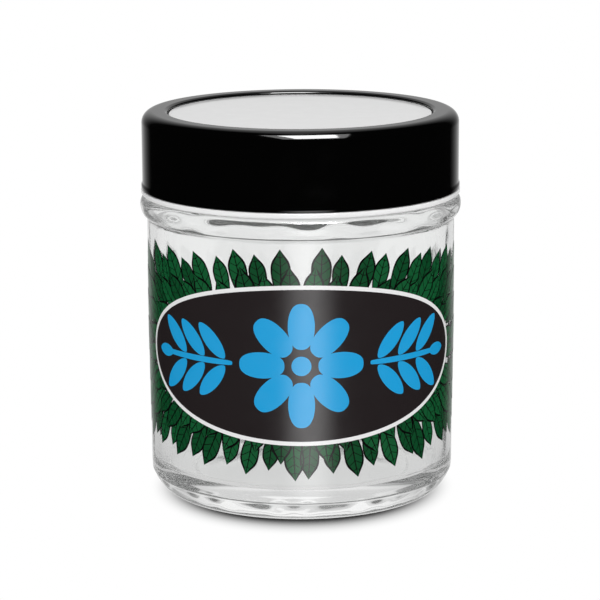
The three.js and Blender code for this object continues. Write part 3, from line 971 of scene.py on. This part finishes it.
# %% [markdown]
# ### The room
# The room is dark towards the camera and white behind the jar, because that is what draws dark edges in
# clear glass and keeps the black lid black. A picture of a studio would do this too, but a few ramps over
# the direction of the ray are easier to steer. Plain surfaces see an even level, mirrors see a narrow
# backdrop, and glass sees a wider one that is greyer to the sides and higher up.

# %% World
AMBIENT = 0.5
ROOM_DARK = 0.004
BACKDROP_EDGE, BACKDROP_LEVEL, BACKDROP_FALL = math.cos(math.radians(44)), 0.85, 2.0
HAZE_LOW, HAZE_HIGH = math.sin(math.radians(-14)), math.sin(math.radians(6))
HAZE_LEFT = 0.6
SIDE_GREY, SKY_GREY = 0.42, 0.5
SIDE_EDGE, SIDE_FULL = math.cos(math.radians(50)), math.cos(math.radians(12))
SKY_LOW, SKY_HIGH = math.sin(math.radians(6)), math.sin(math.radians(30))


def make_world():
    """Even light for plain surfaces, a narrow white backdrop in mirrors and a wider one in glass."""
    world = bpy.data.worlds.new("studio")
    bpy.context.scene.world = world
    world.use_nodes = True
    world.cycles.sampling_method = "NONE"
    tree = world.node_tree
    tree.nodes.clear()
    ray = add_node(tree, "ShaderNodeLightPath").outputs
    way = add_node(tree, "ShaderNodeTexCoord").outputs["Generated"]
    part = add_node(tree, "ShaderNodeSeparateXYZ", {0: way}).outputs
    level = add_node(tree, "ShaderNodeCombineXYZ", {"X": part["X"], "Y": part["Y"]}).outputs[0]
    flat = add_node(tree, "ShaderNodeVectorMath", {0: level}, operation="NORMALIZE").outputs[0]
    facing = add_node(tree, "ShaderNodeSeparateXYZ", {0: flat}).outputs["Y"]
    inputs = {"Value": facing, "From Min": BACKDROP_EDGE, "From Max": 1.0}
    inward = add_node(tree, "ShaderNodeMapRange", inputs).outputs[0]
    behind = math_node(tree, "POWER", inward, BACKDROP_FALL)
    height = ramp(tree, part["Z"], HAZE_LOW, HAZE_HIGH, BACKDROP_LEVEL, BACKDROP_LEVEL * HAZE_LEFT)
    mirror = math_node(tree, "MAXIMUM", math_node(tree, "MULTIPLY", behind, height), ROOM_DARK)
    front_or_back = math_node(tree, "ABSOLUTE", facing)
    side = ramp(tree, front_or_back, SIDE_EDGE, SIDE_FULL, SIDE_GREY, 1.0)
    sky = ramp(tree, part["Z"], SKY_LOW, SKY_HIGH, 1.0, SKY_GREY)
    through = math_node(tree, "MULTIPLY", side, sky)
    light = blend(tree, ray["Is Glossy Ray"], (AMBIENT, AMBIENT, AMBIENT, 1), mirror)
    light = blend(tree, ray["Is Transmission Ray"], light, through)
    light = blend(tree, ray["Is Camera Ray"], light, WHITE_LIGHT)
    shade = add_node(tree, "ShaderNodeBackground", {"Color": light, "Strength": 1.0}).outputs[0]
    add_node(tree, "ShaderNodeOutputWorld", {"Surface": shade})


make_world()
print("world ambient", AMBIENT)

# %% [markdown]
# ## Light
# A large softbox hangs above and in front, as in the photograph, where it draws the short bright bar on the
# lid's front edge. A bright core that only mirrors see gives that bar its strength without more light on
# the jar, and a low strip in front draws the soft upright sheen on the printed wall. The strip fades
# towards its sides, which a plain area lamp doesn't, so it is a glowing card.

# %% Softboxes
LID_FRONT = (0, -0.036, 0.09)
SOFTBOX_PLACE, SOFTBOX_SIZE, SOFTBOX_RADIANCE = (0.05, -0.27, 0.62), (0.44, 0.44), 3.3
CORE_PLACE, CORE_SIZE, CORE_RADIANCE = (0.06, -0.26, 0.60), (0.27, 0.34), 22.0


def softbox(name, place, aim, size, radiance, only_mirrors=False):
    """A lamp at a place, turned to aim, of that radiance: its power is radiance x pi x area."""
    data = bpy.data.lights.new(name, "AREA")
    data.shape = "RECTANGLE"
    data.size, data.size_y = size
    data.energy = radiance * math.pi * size[0] * size[1]
    lamp = bpy.data.objects.new(name, data)
    bpy.context.scene.collection.objects.link(lamp)
    way = Vector(aim) - Vector(place)
    lamp.matrix_world = Matrix.Translation(place) @ way.to_track_quat("-Z", "Y").to_matrix().to_4x4()
    lamp.visible_camera = False
    lamp.visible_diffuse = not only_mirrors
    lamp.visible_transmission = not only_mirrors
    print(f"{name}: {data.energy:.2f} W")


softbox("key_softbox", SOFTBOX_PLACE, LID_FRONT, SOFTBOX_SIZE, SOFTBOX_RADIANCE)
softbox("softbox_core", CORE_PLACE, LID_FRONT, CORE_SIZE, CORE_RADIANCE, only_mirrors=True)

# %% A card for mirrors
STRIP_PLACE, STRIP_HALF_SIZE, STRIP_RADIANCE = (0.06, -0.60, -0.27), (0.24, 0.23), 2.6


def card_light(name, middle, half_width, radiance):
    """Light that is brightest down the card's middle line: radiance (1 - x^2)^2 across it."""
    material, tree = bare_material(name)
    place = add_node(tree, "ShaderNodeTexCoord").outputs["Object"]
    x = add_node(tree, "ShaderNodeSeparateXYZ", {0: place}).outputs["X"]
    off = math_node(tree, "DIVIDE", math_node(tree, "SUBTRACT", x, middle), half_width)
    fall = math_node(tree, "SUBTRACT", 1.0, math_node(tree, "MULTIPLY", off, off))
    glow = math_node(tree, "MULTIPLY", math_node(tree, "MULTIPLY", fall, fall), radiance)
    light = add_node(tree, "ShaderNodeEmission", {"Strength": glow}).outputs[0]
    add_node(tree, "ShaderNodeOutputMaterial", {"Surface": light})
    return material


def mirror_card(name, place, half_size, radiance):
    """An upright card that only mirrors see."""
    wide, tall = half_size
    corners = np.array([(-wide, 0, -tall), (-wide, 0, tall), (wide, 0, tall), (wide, 0, -tall)])
    card = stage_plane(name, corners + np.array(place), card_light(name, place[0], wide, radiance))
    card.visible_camera = False
    card.visible_diffuse = False
    card.visible_transmission = False
    print(f"{name}: {2 * wide} x {2 * tall} m")


mirror_card("low_strip", STRIP_PLACE, STRIP_HALF_SIZE, STRIP_RADIANCE)

# %% [markdown]
# ## Finish
# The view transform is Standard, so a colour renders about as it is written. Light bounces many times
# inside thick glass before it leaves, so it is followed further than usual.

# %% Finish
scene = bpy.context.scene
scene.view_settings.view_transform = "Standard"
scene.cycles.max_bounces = 64
scene.cycles.glossy_bounces = 48
scene.cycles.transmission_bounces = 64
